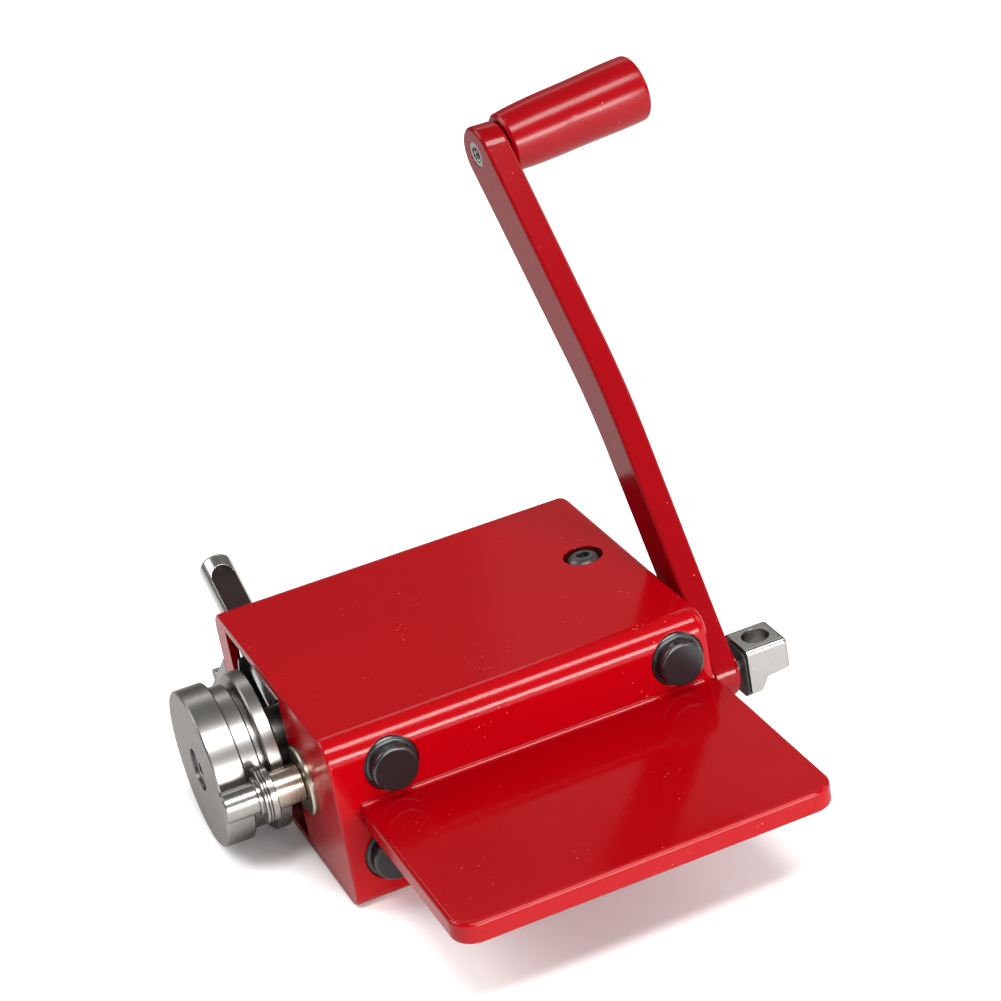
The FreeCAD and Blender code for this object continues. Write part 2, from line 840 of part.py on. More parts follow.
def make_big_roller():
    bore = roller_pin_radius + roller_bush_wall
    c = disc_chamfer
    outline = [
        (disc_start, counterbore_radius), (disc_start, disc_radius - c), (disc_start + c, disc_radius),
        (disc_end - c, disc_radius), (disc_end, disc_radius - c), (disc_end, middle_disc_radius),
        (middle_disc_end - c, middle_disc_radius), (middle_disc_end, middle_disc_radius - c),
        (middle_disc_end, groove_radius), (groove_end, groove_radius), (groove_end, rear_disc_radius - c),
        (groove_end + c, rear_disc_radius), (rear_disc_end - c, rear_disc_radius),
        (rear_disc_end, rear_disc_radius - c), (rear_disc_end, bore),
        (disc_start + counterbore_depth, bore), (disc_start + counterbore_depth, counterbore_radius),
    ]
    return turned(outline, roller_y, roller_z)


def make_roller_bush():
    inner = roller_pin_radius + running_clearance
    outer = roller_pin_radius + roller_bush_wall
    return ring(disc_start + counterbore_depth, rear_disc_end, outer, inner, roller_y, roller_z)


# Crank

def arm_up():
    lean = math.radians(arm_lean)
    return V(0, math.sin(lean), math.cos(lean))


def on_bend(angle, offset):
    # A point of the arm's bend, at an offset from the face that looks at the rollers.
    radius = bend_radius + offset
    centre = V(arm_x - bend_radius, crank_y, shaft_z) + arm_up() * arm_bend_start
    return centre + V(radius * math.cos(angle), 0, 0) + arm_up() * (radius * math.sin(angle))


def past_bend(length, offset):
    # A point of the arm's straight upper part, at a length beyond the bend.
    way = arm_up() * math.cos(tilt) - V(math.sin(tilt), 0, 0)
    return on_bend(tilt, offset) + way * length


def arm_top():
    return past_bend(arm_length - arm_bend_start - arm_bend_length, 0)


def grip_foot():
    # The grip's axis starts a little beyond the middle of the arm's round end.
    return past_bend(arm_length - arm_bend_start - arm_bend_length + grip_rise, 0)


def grip_axis():
    lean = tilt + math.radians(grip_cant)
    return V(math.cos(lean), 0, 0) + arm_up() * math.sin(lean)


def make_crank_arm():
    # Seen from the front the bar is straight at the hub, bends once and is straight again to the grip.
    up = arm_up()
    foot_half = arm_foot_width / 2
    head_half = arm_head_width / 2
    spare = 1.3 * head_half
    foot = V(arm_x, crank_y, shaft_z)
    sides = []
    for offset in (0, arm_thickness):
        start = foot + V(offset, 0, 0) - up * spare
        bend = [on_bend(tilt * share, offset) for share in (0, 0.5, 1)]
        end = past_bend(arm_length - arm_bend_start - arm_bend_length + spare, offset)
        lines = [Part.makeLine(start, bend[0]), Part.Arc(*bend).toShape(), Part.makeLine(bend[2], end)]
        sides.append((start, lines, end))
    left, right = sides
    wire = Part.Wire(left[1] + [Part.makeLine(left[2], right[2])] + right[1][::-1]
                     + [Part.makeLine(right[0], left[0])])
    across = V(0, up.z, -up.y)
    side = Part.Face(wire)
    side.translate(across * -spare)
    bar = side.extrude(across * (2 * spare))
    # The outline seen along the shaft has two round ends, the larger one at the grip.
    depth = 2 * arm_thickness
    back = V(arm_x - depth, crank_y, shaft_z)
    tip = V(arm_x - depth, arm_top().y, arm_top().z)
    corners = [
        back - across * foot_half, tip - across * head_half,
        tip + across * head_half, back + across * foot_half,
    ]
    outline = Part.Wire([
        Part.makeLine(corners[0], corners[1]),
        Part.Arc(corners[1], tip + up * head_half, corners[2]).toShape(),
        Part.makeLine(corners[2], corners[3]),
        Part.Arc(corners[3], back - up * foot_half, corners[0]).toShape(),
    ])
    arm = bar.common(Part.Face(outline).extrude(V(2 * depth, 0, 0)))
    arm = round_edges(arm, arm_edge, lambda e: e.Length > arm_thickness + 2 and not runs_along(e, across))
    boss = rod(arm_x + arm_thickness - 1, boss_x, arm_boss_radius, crank_y, shaft_z)
    arm = arm.fuse(boss).removeSplitter()
    arm = arm.cut(rod(arm_x, boss_x, crank_radius, crank_y, shaft_z))
    axis = grip_axis()
    hole = Part.makeCylinder(spindle_radius, 3 * arm_thickness, grip_foot() - axis * arm_thickness, axis)
    nut = Part.makeCylinder(grip_nut_radius, grip_nut_depth + 2, grip_foot() - axis * 2, axis)
    middle = V(arm_x + arm_thickness / 2, crank_y, shaft_z)
    screw_hole = Part.makeCylinder(set_screw_radius, arm_foot_width, middle, up * -1)
    return arm.cut(hole).cut(nut).cut(screw_hole)


def make_crank_set_screw():
    middle = V(arm_x + arm_thickness / 2, crank_y, shaft_z)
    return set_screw(middle, arm_up() * -1, crank_radius, arm_foot_width / 2 - set_screw_inset)


def make_crank_shaft():
    shaft_start = gear_start - clip_thickness
    seat_end = gear_start + gear_width
    stub_end = block_x + stub_depth
    shape = turned([
        (shaft_start, 0), (shaft_start, pinion_seat_radius), (seat_end, pinion_seat_radius),
        (seat_end, crank_radius), (boss_x, crank_radius), (boss_x, crank_stub_radius),
        (stub_end, crank_stub_radius), (stub_end, 0),
    ], crank_y, shaft_z)
    return shape.cut(pinion_pin_shape()).cut(crank_clip_shape())


def crank_clip_shape():
    x1 = end_x - end_block_length - side_clearance
    inner = crank_radius - clip_groove
    return ring(x1 - clip_thickness, x1, crank_radius + clip_rim, inner, crank_y, shaft_z)


def make_drive_block():
    # Front view of the block: flat top, low right side and a skirt that flares down at the left.
    x0 = block_x
    x1 = block_x + drive_block_length
    top = shaft_z + drive_block_top
    low = shaft_z - drive_block_low
    skirt = shaft_z - drive_block_skirt
    front = crank_y - drive_block_width / 2
    flare = V(x0 + drive_block_flare, front, low - 1)
    belly = V(x0 + 1.35 * drive_block_foot, front, (low + skirt) / 2 - 1.2)
    foot = V(x0 + drive_block_foot, front, skirt)
    lines = [
        Part.makeLine(V(x0, front, skirt), V(x0, front, top)),
        Part.makeLine(V(x0, front, top), V(x1, front, top)),
        Part.makeLine(V(x1, front, top), V(x1, front, low)),
        Part.makeLine(V(x1, front, low), flare),
        Part.Arc(flare, belly, foot).toShape(),
        Part.makeLine(foot, V(x0, front, skirt)),
    ]
    block = Part.Face(Part.Wire(lines)).extrude(V(0, drive_block_width, 0))

    def outer_edge(edge):
        return edge.BoundBox.XMax > x0 + 1e-3 and edge.BoundBox.ZMax > low + 1

    block = round_edges(block, drive_block_edge, outer_edge)
    block = block.cut(boot_shape())
    hole_x = x0 + cross_hole_inset
    block = block.cut(along_z(hole_x, crank_y, skirt - 1, top + 1, cross_hole_radius))
    block = block.cut(rod(block_x, block_x + stub_depth, crank_stub_radius, crank_y, shaft_z))
    return block


def boot_shape():
    # The rubber seal fills the mouth of the drive block up to a thin rim and hangs below its skirt.
    x1 = block_x + boot_depth
    half = drive_block_width / 2 - boot_rim
    bottom = shaft_z - boot_drop
    top = shaft_z + drive_block_top - boot_rim
    boot = box(block_x - boot_lip, x1, crank_y - half, crank_y + half, bottom, top)
    return round_edges(boot, boot_corner_radius, lambda e: runs_along(e, V(1, 0, 0)))


def make_boot():
    return boot_shape().cut(rod(boss_x, block_x + boot_depth, crank_stub_radius, crank_y, shaft_z))


# Grip

def make_grip():
    # A barrel with a slight belly and waist, turned about the spindle.
    start = arm_thickness + grip_gap
    end = start + grip_length
    inner = spindle_radius + 2 * running_clearance
    recess = spindle_head_radius + side_clearance
    seat = end - grip_head_gap - spindle_head - side_clearance
    shares = ((0.33, grip_belly_radius), (0.55, grip_waist_radius), (0.85, grip_end_radius))
    points = [V(start + grip_root_edge, grip_root_radius, 0)]
    points += [V(start + grip_length * share, radius, 0) for share, radius in shares]
    points.append(V(end - grip_end_edge, grip_end_radius - 0.1, 0))
    shoulder = V(end - 0.3 * grip_end_edge, grip_end_radius - 0.3 * grip_end_edge, 0)
    curve = Part.BSplineCurve()
    curve.interpolate(points)
    lines = [
        Part.makeLine(V(start, inner, 0), V(start, grip_root_radius - grip_root_edge, 0)),
        Part.makeLine(V(start, grip_root_radius - grip_root_edge, 0), points[0]),
        curve.toShape(),
        Part.Arc(points[-1], shoulder, V(end, grip_end_radius - grip_end_edge, 0)).toShape(),
        Part.makeLine(V(end, grip_end_radius - grip_end_edge, 0), V(end, recess, 0)),
        Part.makeLine(V(end, recess, 0), V(seat, recess, 0)),
        Part.makeLine(V(seat, recess, 0), V(seat, inner, 0)),
        Part.makeLine(V(seat, inner, 0), V(start, inner, 0)),
    ]
    grip = Part.Face(Part.Wire(lines)).revolve(V(0, 0, 0), V(1, 0, 0), 360)
    return at_grip(grip)


def at_grip(shape):
    shape.Placement = FreeCAD.Placement(grip_foot(), FreeCAD.Rotation(V(1, 0, 0), grip_axis()))
    return shape


def make_spindle():
    start = grip_nut_depth
    end = arm_thickness + grip_gap + grip_length - grip_head_gap
    shank = rod(start, end - spindle_head, spindle_radius, 0, 0)
    head = rod(end - spindle_head, end, spindle_head_radius, 0, 0)
    socket = hex_prism(V(end, 0, 0), V(-1, 0, 0), socket_size, socket_depth)
    return at_grip(shank.fuse(head).removeSplitter().cut(socket))


def make_grip_nut():
    # A round nut whose hole shows the end of the spindle's thread.
    body = ring(grip_nut_inset, grip_nut_depth, grip_nut_radius, grip_nut_bore, 0, 0)
    return at_grip(body)


pieces = {
    "housing": make_housing(),
    "vise_plate": make_vise_plate(),
    "front_bearing_block": make_front_block(),
    "rear_guide_block": make_rear_block(),
    "pressure_bearing_block": make_pressure_block(),
    "end_bearing_block": make_end_block(),
    "mandrel_bushing": make_mandrel_bushing(),
    "mandrel_tail_bushing": make_tail_bushing(),
    "crank_bushing": make_crank_bushing(),
    "eccentric_bushing": make_eccentric_bushing(),
    "block_screws": make_block_screws(),
    "plug_caps": make_plug_caps(),
    "top_screw": make_top_screw(),
    "base_screws": make_base_screws(),
    "lever_stop_bracket": make_stop_bracket(),
    "lever_stop_pin": make_stop_pin(),
    "bracket_screw": make_bracket_screw(),
    "mandrel_shaft": make_mandrel_shaft(),
    "small_roller": make_small_roller(),
    "spacer_sleeve": make_sleeve(),
    "driven_gear": make_driven_gear(),
    "gear_key": key_shape(),
    "mandrel_clip": clip_with_gap(mandrel_clip_shape(), mandrel_y, mandrel_z),
    "eccentric_shaft": make_eccentric_shaft(),
    "lever": make_lever(),
    "slot_shield": make_slot_shield(),
    "eccentric_collar": make_eccentric_collar(),
    "collar_screw": make_collar_screw(),
    "roller_screw": make_roller_screw(),
    "big_roller": make_big_roller(),
    "roller_bush": make_roller_bush(),
    "crank_shaft": make_crank_shaft(),
    "drive_pinion": make_pinion(),
    "pinion_pin": pinion_pin_shape(),
    "crank_clip": clip_with_gap(crank_clip_shape(), crank_y, shaft_z),
    "crank_arm": make_crank_arm(),
    "crank_set_screw": make_crank_set_screw(),
    "drive_block": make_drive_block(),
    "drive_block_seal": make_boot(),
    "grip_spindle": make_spindle(),
    "grip_nut": make_grip_nut(),
    "grip": make_grip(),
}

os.makedirs("parts", exist_ok=True)
for node, shape in pieces.items():
    shape.translate(V(-housing_length / 2, -housing_depth / 2, 0))
    shape.exportStep("parts/" + node + ".step")
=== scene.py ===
import json
import math
import bpy
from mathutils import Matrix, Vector


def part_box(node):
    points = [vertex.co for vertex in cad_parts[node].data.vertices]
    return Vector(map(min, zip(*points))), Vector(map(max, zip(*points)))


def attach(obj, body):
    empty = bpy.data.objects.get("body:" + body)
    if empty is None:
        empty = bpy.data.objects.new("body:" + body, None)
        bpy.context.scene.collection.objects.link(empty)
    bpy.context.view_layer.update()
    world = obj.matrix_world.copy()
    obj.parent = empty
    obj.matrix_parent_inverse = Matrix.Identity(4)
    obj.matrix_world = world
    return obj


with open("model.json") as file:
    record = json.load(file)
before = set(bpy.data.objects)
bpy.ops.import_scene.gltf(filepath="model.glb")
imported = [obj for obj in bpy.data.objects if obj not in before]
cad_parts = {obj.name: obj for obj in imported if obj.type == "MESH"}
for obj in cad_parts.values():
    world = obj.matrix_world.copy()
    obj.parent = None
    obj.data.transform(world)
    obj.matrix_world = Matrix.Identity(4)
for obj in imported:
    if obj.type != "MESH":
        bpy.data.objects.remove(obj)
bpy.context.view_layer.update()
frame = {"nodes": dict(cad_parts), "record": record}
nodes = frame["nodes"]
joints = {joint["name"]: joint for joint in frame["record"]["behaviour"]["joints"]}
MM = 0.001

# The view and the light of the studio: a long lens held above the roller end and tipped a little,
# a white floor, a low and a high soft lamp in front, and weaker ones around for the sides and the back.
camera_data = bpy.data.cameras.new("camera")
camera_data.lens = 102.54
camera_data.sensor_width = 36
camera_data.clip_start = 0.05
camera = bpy.data.objects.new("camera", camera_data)
camera.location = (-0.27897, -0.91908, 0.57493)
camera.rotation_euler = [math.radians(turn) for turn in (63.871, 9.447, -23.043)]
bpy.context.scene.collection.objects.link(camera)
bpy.context.scene.camera = camera
bpy.context.scene.view_settings.view_transform = "Standard"


def soft_lamp(name, place, aim, width, height, power):
    lamp = bpy.data.lights.new(name, "AREA")
    lamp.shape = "RECTANGLE"
    lamp.size = width
    lamp.size_y = height
    lamp.energy = power
    holder = bpy.data.objects.new(name, lamp)
    holder.location = place
    holder.rotation_euler = (Vector(aim) - Vector(place)).to_track_quat("-Z", "Y").to_euler()
    bpy.context.scene.collection.objects.link(holder)


soft_lamp("low_lamp", (0.35, -1.7, 0.33), (0, 0, 0.08), 1.3, 0.4, 48)
soft_lamp("key_lamp", (0.15, -0.98, 1.85), (0, 0, 0.05), 1.6, 0.5, 54)
soft_lamp("right_lamp", (1.5, -0.2, 0.9), (0, 0, 0.08), 0.7, 0.9, 8)
soft_lamp("rear_lamp", (1.3, 1.9, 1.1), (0, 0, 0.08), 1.3, 0.9, 1.3)
soft_lamp("back_lamp", (0.5, 1.5, 1.5), (0, 0, 0.08), 1.6, 0.35, 5)
soft_lamp("left_lamp", (-2.0, 1.5, 2.3), (-0.1, 0.7, 0), 2.0, 2.0, 75)

world = bpy.data.worlds.new("studio")
world.use_nodes = True
world.node_tree.nodes["Background"].inputs["Color"].default_value = (1, 1, 1, 1)
world.node_tree.nodes["Background"].inputs["Strength"].default_value = 0.3
bpy.context.scene.world = world

floor_mesh = bpy.data.meshes.new("floor")
floor_mesh.from_pydata([(-6, -6, 0), (6, -6, 0), (6, 6, 0), (-6, 6, 0)], [], [(0, 1, 2, 3)])
floor = bpy.data.objects.new("floor", floor_mesh)
bpy.context.scene.collection.objects.link(floor)
floor_paint = bpy.data.materials.new("floor_paint")
floor_paint.use_nodes = True
floor_shader = floor_paint.node_tree.nodes["Principled BSDF"]
floor_shader.inputs["Base Color"].default_value = (0.95, 0.95, 0.95, 1)
floor_shader.inputs["Roughness"].default_value = 0.9
floor_shader.inputs["Specular IOR Level"].default_value = 0.05
floor_mesh.materials.append(floor_paint)


# Housing: a rectangular steel tube, sprayed red and baked, with the lever's slot in its rear wall.
# The paint group gives orange peel, soft tones and specks of dust; the inside of the tube and the top
# screw's recess are painted near black as painted shade, with a ragged edge near the open end.
def new_group(name, inputs, outputs):
    group = bpy.data.node_groups.new(name, "ShaderNodeTree")
    for socket, value in inputs:
        made = group.interface.new_socket(socket, in_out="INPUT", socket_type="NodeSocketFloat")
        made.default_value = value
    for socket in outputs:
        group.interface.new_socket(socket, in_out="OUTPUT", socket_type="NodeSocketFloat")
    start = group.nodes.new("NodeGroupInput")
    end = group.nodes.new("NodeGroupOutput")
    return group, start, end


def sum_node(tree, operation, first, second):
    # A Math node; each of its two inputs is a socket or a number.
    made = tree.nodes.new("ShaderNodeMath")
    made.operation = operation
    for place, value in enumerate((first, second)):
        if isinstance(value, (int, float)):
            made.inputs[place].default_value = value
        else:
            tree.links.new(value, made.inputs[place])
    return made.outputs[0]


def noise_node(tree, place, scale, detail, roughness=0.5):
    made = tree.nodes.new("ShaderNodeTexNoise")
    made.inputs["Detail"].default_value = detail
    made.inputs["Roughness"].default_value = roughness
    tree.links.new(place, made.inputs["Vector"])
    if isinstance(scale, (int, float)):
        made.inputs["Scale"].default_value = scale
    else:
        tree.links.new(scale, made.inputs["Scale"])
    return made.outputs["Fac"]


def step_node(tree, value, low, high):
    # Changes a value smoothly from 0 at low to 1 at high.
    made = tree.nodes.new("ShaderNodeMapRange")
    made.interpolation_type = "SMOOTHSTEP"
    tree.links.new(value, made.inputs["Value"])
    made.inputs["From Min"].default_value = low
    made.inputs["From Max"].default_value = high
    return made.outputs["Result"]


def inside_node(tree, value, low, high, soft):
    # 1 where a value lies between low and high, with a soft border.
    above = step_node(tree, value, low - soft, low + soft)
    below = step_node(tree, value, high + soft, high - soft)
    return sum_node(tree, "MULTIPLY", above, below)


paint_film, film_in, film_out = new_group(
    "paint_film", [("Peel Scale", 900.0), ("Speck Scale", 420.0)], ["Peel", "Tone", "Specks"])
film_place = paint_film.nodes.new("ShaderNodeTexCoord").outputs["Object"]
peel = noise_node(paint_film, film_place, film_in.outputs["Peel Scale"], 2.0, 0.4)
tone = noise_node(paint_film, film_place, 14.0, 5.0, 0.5)
speck_field = paint_film.nodes.new("ShaderNodeTexVoronoi")
paint_film.links.new(film_place, speck_field.inputs["Vector"])
paint_film.links.new(film_in.outputs["Speck Scale"], speck_field.inputs["Scale"])
near_speck = step_node(paint_film, speck_field.outputs["Distance"], 0.14, 0.05)
dusty = step_node(paint_film, noise_node(paint_film, film_place, 60.0, 3.0), 0.58, 0.68)
paint_film.links.new(peel, film_out.inputs["Peel"])
paint_film.links.new(tone, film_out.inputs["Tone"])
paint_film.links.new(sum_node(paint_film, "MULTIPLY", near_speck, dusty), film_out.inputs["Specks"])


def new_material(name):
    material = bpy.data.materials.new(name)
    material.use_nodes = True
    return material, material.node_tree, material.node_tree.nodes["Principled BSDF"]


def use_group(tree, group, **values):
    made = tree.nodes.new("ShaderNodeGroup")
    made.node_tree = group
    for socket, value in values.items():
        made.inputs[socket.replace("_", " ")].default_value = value
    return made


def blend_colours(tree, share, first, second):
    made = tree.nodes.new("ShaderNodeMix")
    made.data_type = "RGBA"
    tree.links.new(share, made.inputs["Factor"])
    for socket, colour in (("A", first), ("B", second)):
        target = [s for s in made.inputs if s.name == socket and s.type == "RGBA"][0]
        if isinstance(colour, tuple):
            target.default_value = (*colour, 1)
        else:
            tree.links.new(colour, target)
    return [s for s in made.outputs if s.type == "RGBA"][0]


def span_node(tree, value, low, high):
    # Spreads a 0 to 1 value over the span from low to high.
    made = tree.nodes.new("ShaderNodeMapRange")
    tree.links.new(value, made.inputs["Value"])
    made.inputs["To Min"].default_value = low
    made.inputs["To Max"].default_value = high
    return made.outputs["Result"]


def soft_edge(tree, radius):
    # Sharp corners of the model catch the light as if they were rounded by this radius.
    made = tree.nodes.new("ShaderNodeBevel")
    made.samples = 6
    made.inputs["Radius"].default_value = radius
    return made.outputs["Normal"]


def bump_node(tree, height, distance, strength, below):
    made = tree.nodes.new("ShaderNodeBump")
    made.inputs["Distance"].default_value = distance
    made.inputs["Strength"].default_value = strength
    tree.links.new(height, made.inputs["Height"])
    tree.links.new(below, made.inputs["Normal"])
    return made.outputs["Normal"]


def parts_of_place(tree):
    place = tree.nodes.new("ShaderNodeTexCoord").outputs["Object"]
    made = tree.nodes.new("ShaderNodeSeparateXYZ")
    tree.links.new(place, made.inputs[0])
    return place, made.outputs


def red_enamel(name, peel_scale=900.0, gloss=0.2, depth=1.0, painted_shade_box=None):
    material, tree, shader = new_material(name)
    film = use_group(tree, paint_film, Peel_Scale=peel_scale)
    # Below 1, depth darkens the red as painted shade for parts that take more lamp light.
    dark_red = (0.205 * depth, 0.0, 0.0015)
    light_red = (0.24 * depth, 0.0, 0.002)
    red = blend_colours(tree, film.outputs["Tone"], dark_red, light_red)
    colour = blend_colours(tree, film.outputs["Specks"], red, (0.5, 0.12, 0.1))
    roughness = span_node(tree, film.outputs["Tone"], gloss, gloss + 0.1)
    # Painted shade: the tube's inside and the top screw's recess are coloured near black.
    if painted_shade_box:
        place, axes = parts_of_place(tree)
        low, high = painted_shade_box
        ragged_depth = 5 * MM
        edge_softness = 0.8 * MM
        ragged = sum_node(tree, "MULTIPLY", noise_node(tree, place, 240.0, 4.0), ragged_depth)
        inner_x = sum_node(tree, "SUBTRACT", axes["X"], ragged)
        past_edge = step_node(tree, inner_x, low[0] - edge_softness, low[0] + edge_softness)
        before_end = step_node(tree, axes["X"], high[0] + 0.1 * MM, high[0] - 0.1 * MM)
        painted_shade = sum_node(tree, "MULTIPLY", past_edge, before_end)
        for axis, number in (("Y", 1), ("Z", 2)):
            within = inside_node(tree, axes[axis], low[number], high[number], 0.1 * MM)
            painted_shade = sum_node(tree, "MULTIPLY", painted_shade, within)
        screw_low, screw_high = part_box("top_screw")
        off_x = sum_node(tree, "SUBTRACT", axes["X"], (screw_low[0] + screw_high[0]) / 2)
        off_y = sum_node(tree, "SUBTRACT", axes["Y"], (screw_low[1] + screw_high[1]) / 2)
        square_x = sum_node(tree, "MULTIPLY", off_x, off_x)
        square_y = sum_node(tree, "MULTIPLY", off_y, off_y)
        from_screw = sum_node(tree, "SQRT", sum_node(tree, "ADD", square_x, square_y), 0.0)
        recess_radius = 7.8 * MM
        rim_height = 3.6 * MM
        near_screw = step_node(tree, from_screw, recess_radius + 0.3 * MM, recess_radius)
        recess_rim = high[2] + rim_height
        sunk = step_node(tree, axes["Z"], recess_rim, recess_rim - 0.6 * MM)
        painted_shade = sum_node(tree, "MAXIMUM", painted_shade, sum_node(tree, "MULTIPLY", near_screw, sunk))
        colour = blend_colours(tree, painted_shade, colour, (0.006, 0.005, 0.005))
        rough_edge = sum_node(tree, "MULTIPLY", painted_shade, 0.35)
        roughness = sum_node(tree, "ADD", roughness, rough_edge)
    tree.links.new(colour, shader.inputs["Base Color"])
    tree.links.new(roughness, shader.inputs["Roughness"])
    edge = soft_edge(tree, 0.5 * MM)
    tree.links.new(bump_node(tree, film.outputs["Peel"], 0.00006, 0.3, edge), shader.inputs["Normal"])
    tree.links.new(shader.inputs["Normal"].links[0].from_socket, shader.inputs["Coat Normal"])
    shader.inputs["Specular IOR Level"].default_value = 0.01
    shader.inputs["Coat Weight"].default_value = 0.18
    shader.inputs["Coat IOR"].default_value = 1.8
    shader.inputs["Coat Roughness"].default_value = gloss - 0.08
    return material


def dress(node, material):
    mesh = nodes[node].data
    mesh.materials.clear()
    mesh.materials.append(material)


housing_low, housing_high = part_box("housing")
wall = 4 * MM
wall_skin = wall - 0.3 * MM
inner_low = (housing_low[0] + 1.5 * MM, housing_low[1] + wall_skin, housing_low[2] + wall_skin)
inner_high = (housing_high[0] - wall_skin, housing_high[1] - wall_skin, housing_high[2] - wall_skin)
# The housing's inside is painted near black here as painted shade.
housing_paint = red_enamel("housing_paint", painted_shade_box=(inner_low, inner_high))
for node in ("housing", "front_bearing_block", "rear_guide_block"):
    dress(node, housing_paint)

# Vise plate: flat steel bar with round corners and edges, for a vise's jaws to hold.
# It is welded to the housing's front face and sprayed with it, in the same red, darkened a little here as
# painted shade.
dress("vise_plate", red_enamel("plate_paint", 820.0, 0.16, 0.93))

# Crank arm and grip: a bent flat steel bar with a round head, and a turned grip that spins on it.
# Both are sprayed in the same red, darkened here as painted shade, and the grip's is more matt from the
# hand.
dress("crank_arm", red_enamel("arm_paint", 1000.0, 0.2, 0.66))
dress("grip", red_enamel("grip_paint", 1300.0, 0.28, 0.74))

# Rollers and shafts: steel turned on a lathe, with fine rings left by the tool around each axis.
# The marks follow the distance from the piece's own axis, so they circle on its faces and its rims.
turning_marks, marks_in, marks_out = new_group(
    "turning_marks", [("Axis Y", 0.0), ("Axis Z", 0.035), ("Fineness", 1.0)], ["Rings", "Patches"])
marks_place, marks_axes = parts_of_place(turning_marks)
off_y = sum_node(turning_marks, "SUBTRACT", marks_axes["Y"], marks_in.outputs["Axis Y"])
off_z = sum_node(turning_marks, "SUBTRACT", marks_axes["Z"], marks_in.outputs["Axis Z"])
squares = sum_node(turning_marks, "ADD", sum_node(turning_marks, "MULTIPLY", off_y, off_y),
                   sum_node(turning_marks, "MULTIPLY", off_z, off_z))
from_axis = sum_node(turning_marks, "SQRT", squares, 0.0)
ring_place = turning_marks.nodes.new("ShaderNodeCombineXYZ")
turning_marks.links.new(marks_axes["X"], ring_place.inputs["X"])
turning_marks.links.new(from_axis, ring_place.inputs["Y"])
ring_scale = sum_node(turning_marks, "MULTIPLY", marks_in.outputs["Fineness"], 2600.0)
turning_marks.links.new(
    noise_node(turning_marks, ring_place.outputs[0], ring_scale, 3.0, 0.65), marks_out.inputs["Rings"])
turning_marks.links.new(noise_node(turning_marks, marks_place, 90.0, 5.0, 0.6), marks_out.inputs["Patches"])


def turned_metal(name, joint, dark, light, gloss, depth=0.25, fineness=1.0):
    material, tree, shader = new_material(name)
    axis_y, axis_z = joints[joint]["pos_m"][1:]
    marks = use_group(tree, turning_marks, Axis_Y=axis_y, Axis_Z=axis_z, Fineness=fineness)
    tree.links.new(blend_colours(tree, marks.outputs["Patches"], dark, light), shader.inputs["Base Color"])
    roughness = span_node(tree, marks.outputs["Rings"], gloss - 0.06, gloss + 0.1)
    tree.links.new(roughness, shader.inputs["Roughness"])
    edge = soft_edge(tree, 0.25 * MM)
    tree.links.new(bump_node(tree, marks.outputs["Rings"], 0.00003, depth, edge), shader.inputs["Normal"])
    shader.inputs["Metallic"].default_value = 1.0
    shader.inputs["Specular Tint"].default_value = (0.45, 0.44, 0.43, 1)
    return material


steel_dark = (0.22, 0.21, 0.2)
steel_light = (0.3, 0.287, 0.272)
dress("big_roller", turned_metal("big_roller_steel", "roller_spin", steel_dark, steel_light, 0.28))
small_steel = turned_metal("small_roller_steel", "mandrel_spin", steel_dark, steel_light, 0.22)
for node in ("small_roller", "mandrel_shaft", "driven_gear", "gear_key"):
    dress(node, small_steel)
shaft_steel = turned_metal("shaft_steel", "lever_swing", steel_dark, steel_light, 0.3)
for node in ("eccentric_shaft", "eccentric_collar", "lever_stop_pin"):
    dress(node, shaft_steel)
crank_steel = turned_metal("crank_steel", "crank_spin", steel_dark, steel_light, 0.25)
for node in ("crank_shaft", "drive_pinion", "pinion_pin"):
    dress(node, crank_steel)

# Lever: a ground steel rod whose spigot sits in the eccentric shaft's hub and which passes the slot.
# Its milled thumb flat is coloured near black and made dull; the grain runs along the rod.
lever_paint, lever_tree, lever_shader = new_material("lever_steel")
lever_place, lever_axes = parts_of_place(lever_tree)
lever_low, lever_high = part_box("lever")
lever_middle = (lever_low[0] + lever_high[0]) / 2
lever_lean = math.radians(65.4)
lever_pivot = joints["lever_swing"]["pos_m"]
lever_up = (-math.cos(lever_lean), math.sin(lever_lean))
flat_height = 4.5 * MM
flat_half = 5.0 * MM
from_pivot_y = sum_node(lever_tree, "SUBTRACT", lever_axes["Y"], lever_pivot[1])
from_pivot_z = sum_node(lever_tree, "SUBTRACT", lever_axes["Z"], lever_pivot[2])
rise_y = sum_node(lever_tree, "MULTIPLY", from_pivot_y, lever_up[0])
rise_z = sum_node(lever_tree, "MULTIPLY", from_pivot_z, lever_up[1])
rise = sum_node(lever_tree, "ADD", rise_y, rise_z)
on_floor = inside_node(lever_tree, rise, flat_height - 0.25 * MM, flat_height + 0.25 * MM, 0.05 * MM)
flat_from = lever_middle - flat_half
flat_to = lever_middle + flat_half
across = inside_node(lever_tree, lever_axes["X"], flat_from, flat_to, 0.1 * MM)
in_flat = sum_node(lever_tree, "MULTIPLY", on_floor, across)
grain_place = lever_tree.nodes.new("ShaderNodeMapping")
grain_place.inputs["Scale"].default_value = (9.0, 0.5, 0.5)
lever_tree.links.new(lever_place, grain_place.inputs["Vector"])
lever_grain = noise_node(lever_tree, grain_place.outputs[0], 500.0, 4.0, 0.6)
ground = blend_colours(lever_tree, lever_grain, (0.26, 0.252, 0.24), (0.36, 0.348, 0.33))
lever_tree.links.new(
    blend_colours(lever_tree, in_flat, ground, (0.03, 0.021, 0.018)), lever_shader.inputs["Base Color"])
lever_shader.inputs["Metallic"].default_value = 1.0
lever_gloss = span_node(lever_tree, lever_grain, 0.2, 0.32)
flat_gloss = sum_node(lever_tree, "MULTIPLY", in_flat, 0.3)
lever_tree.links.new(sum_node(lever_tree, "ADD", lever_gloss, flat_gloss), lever_shader.inputs["Roughness"])
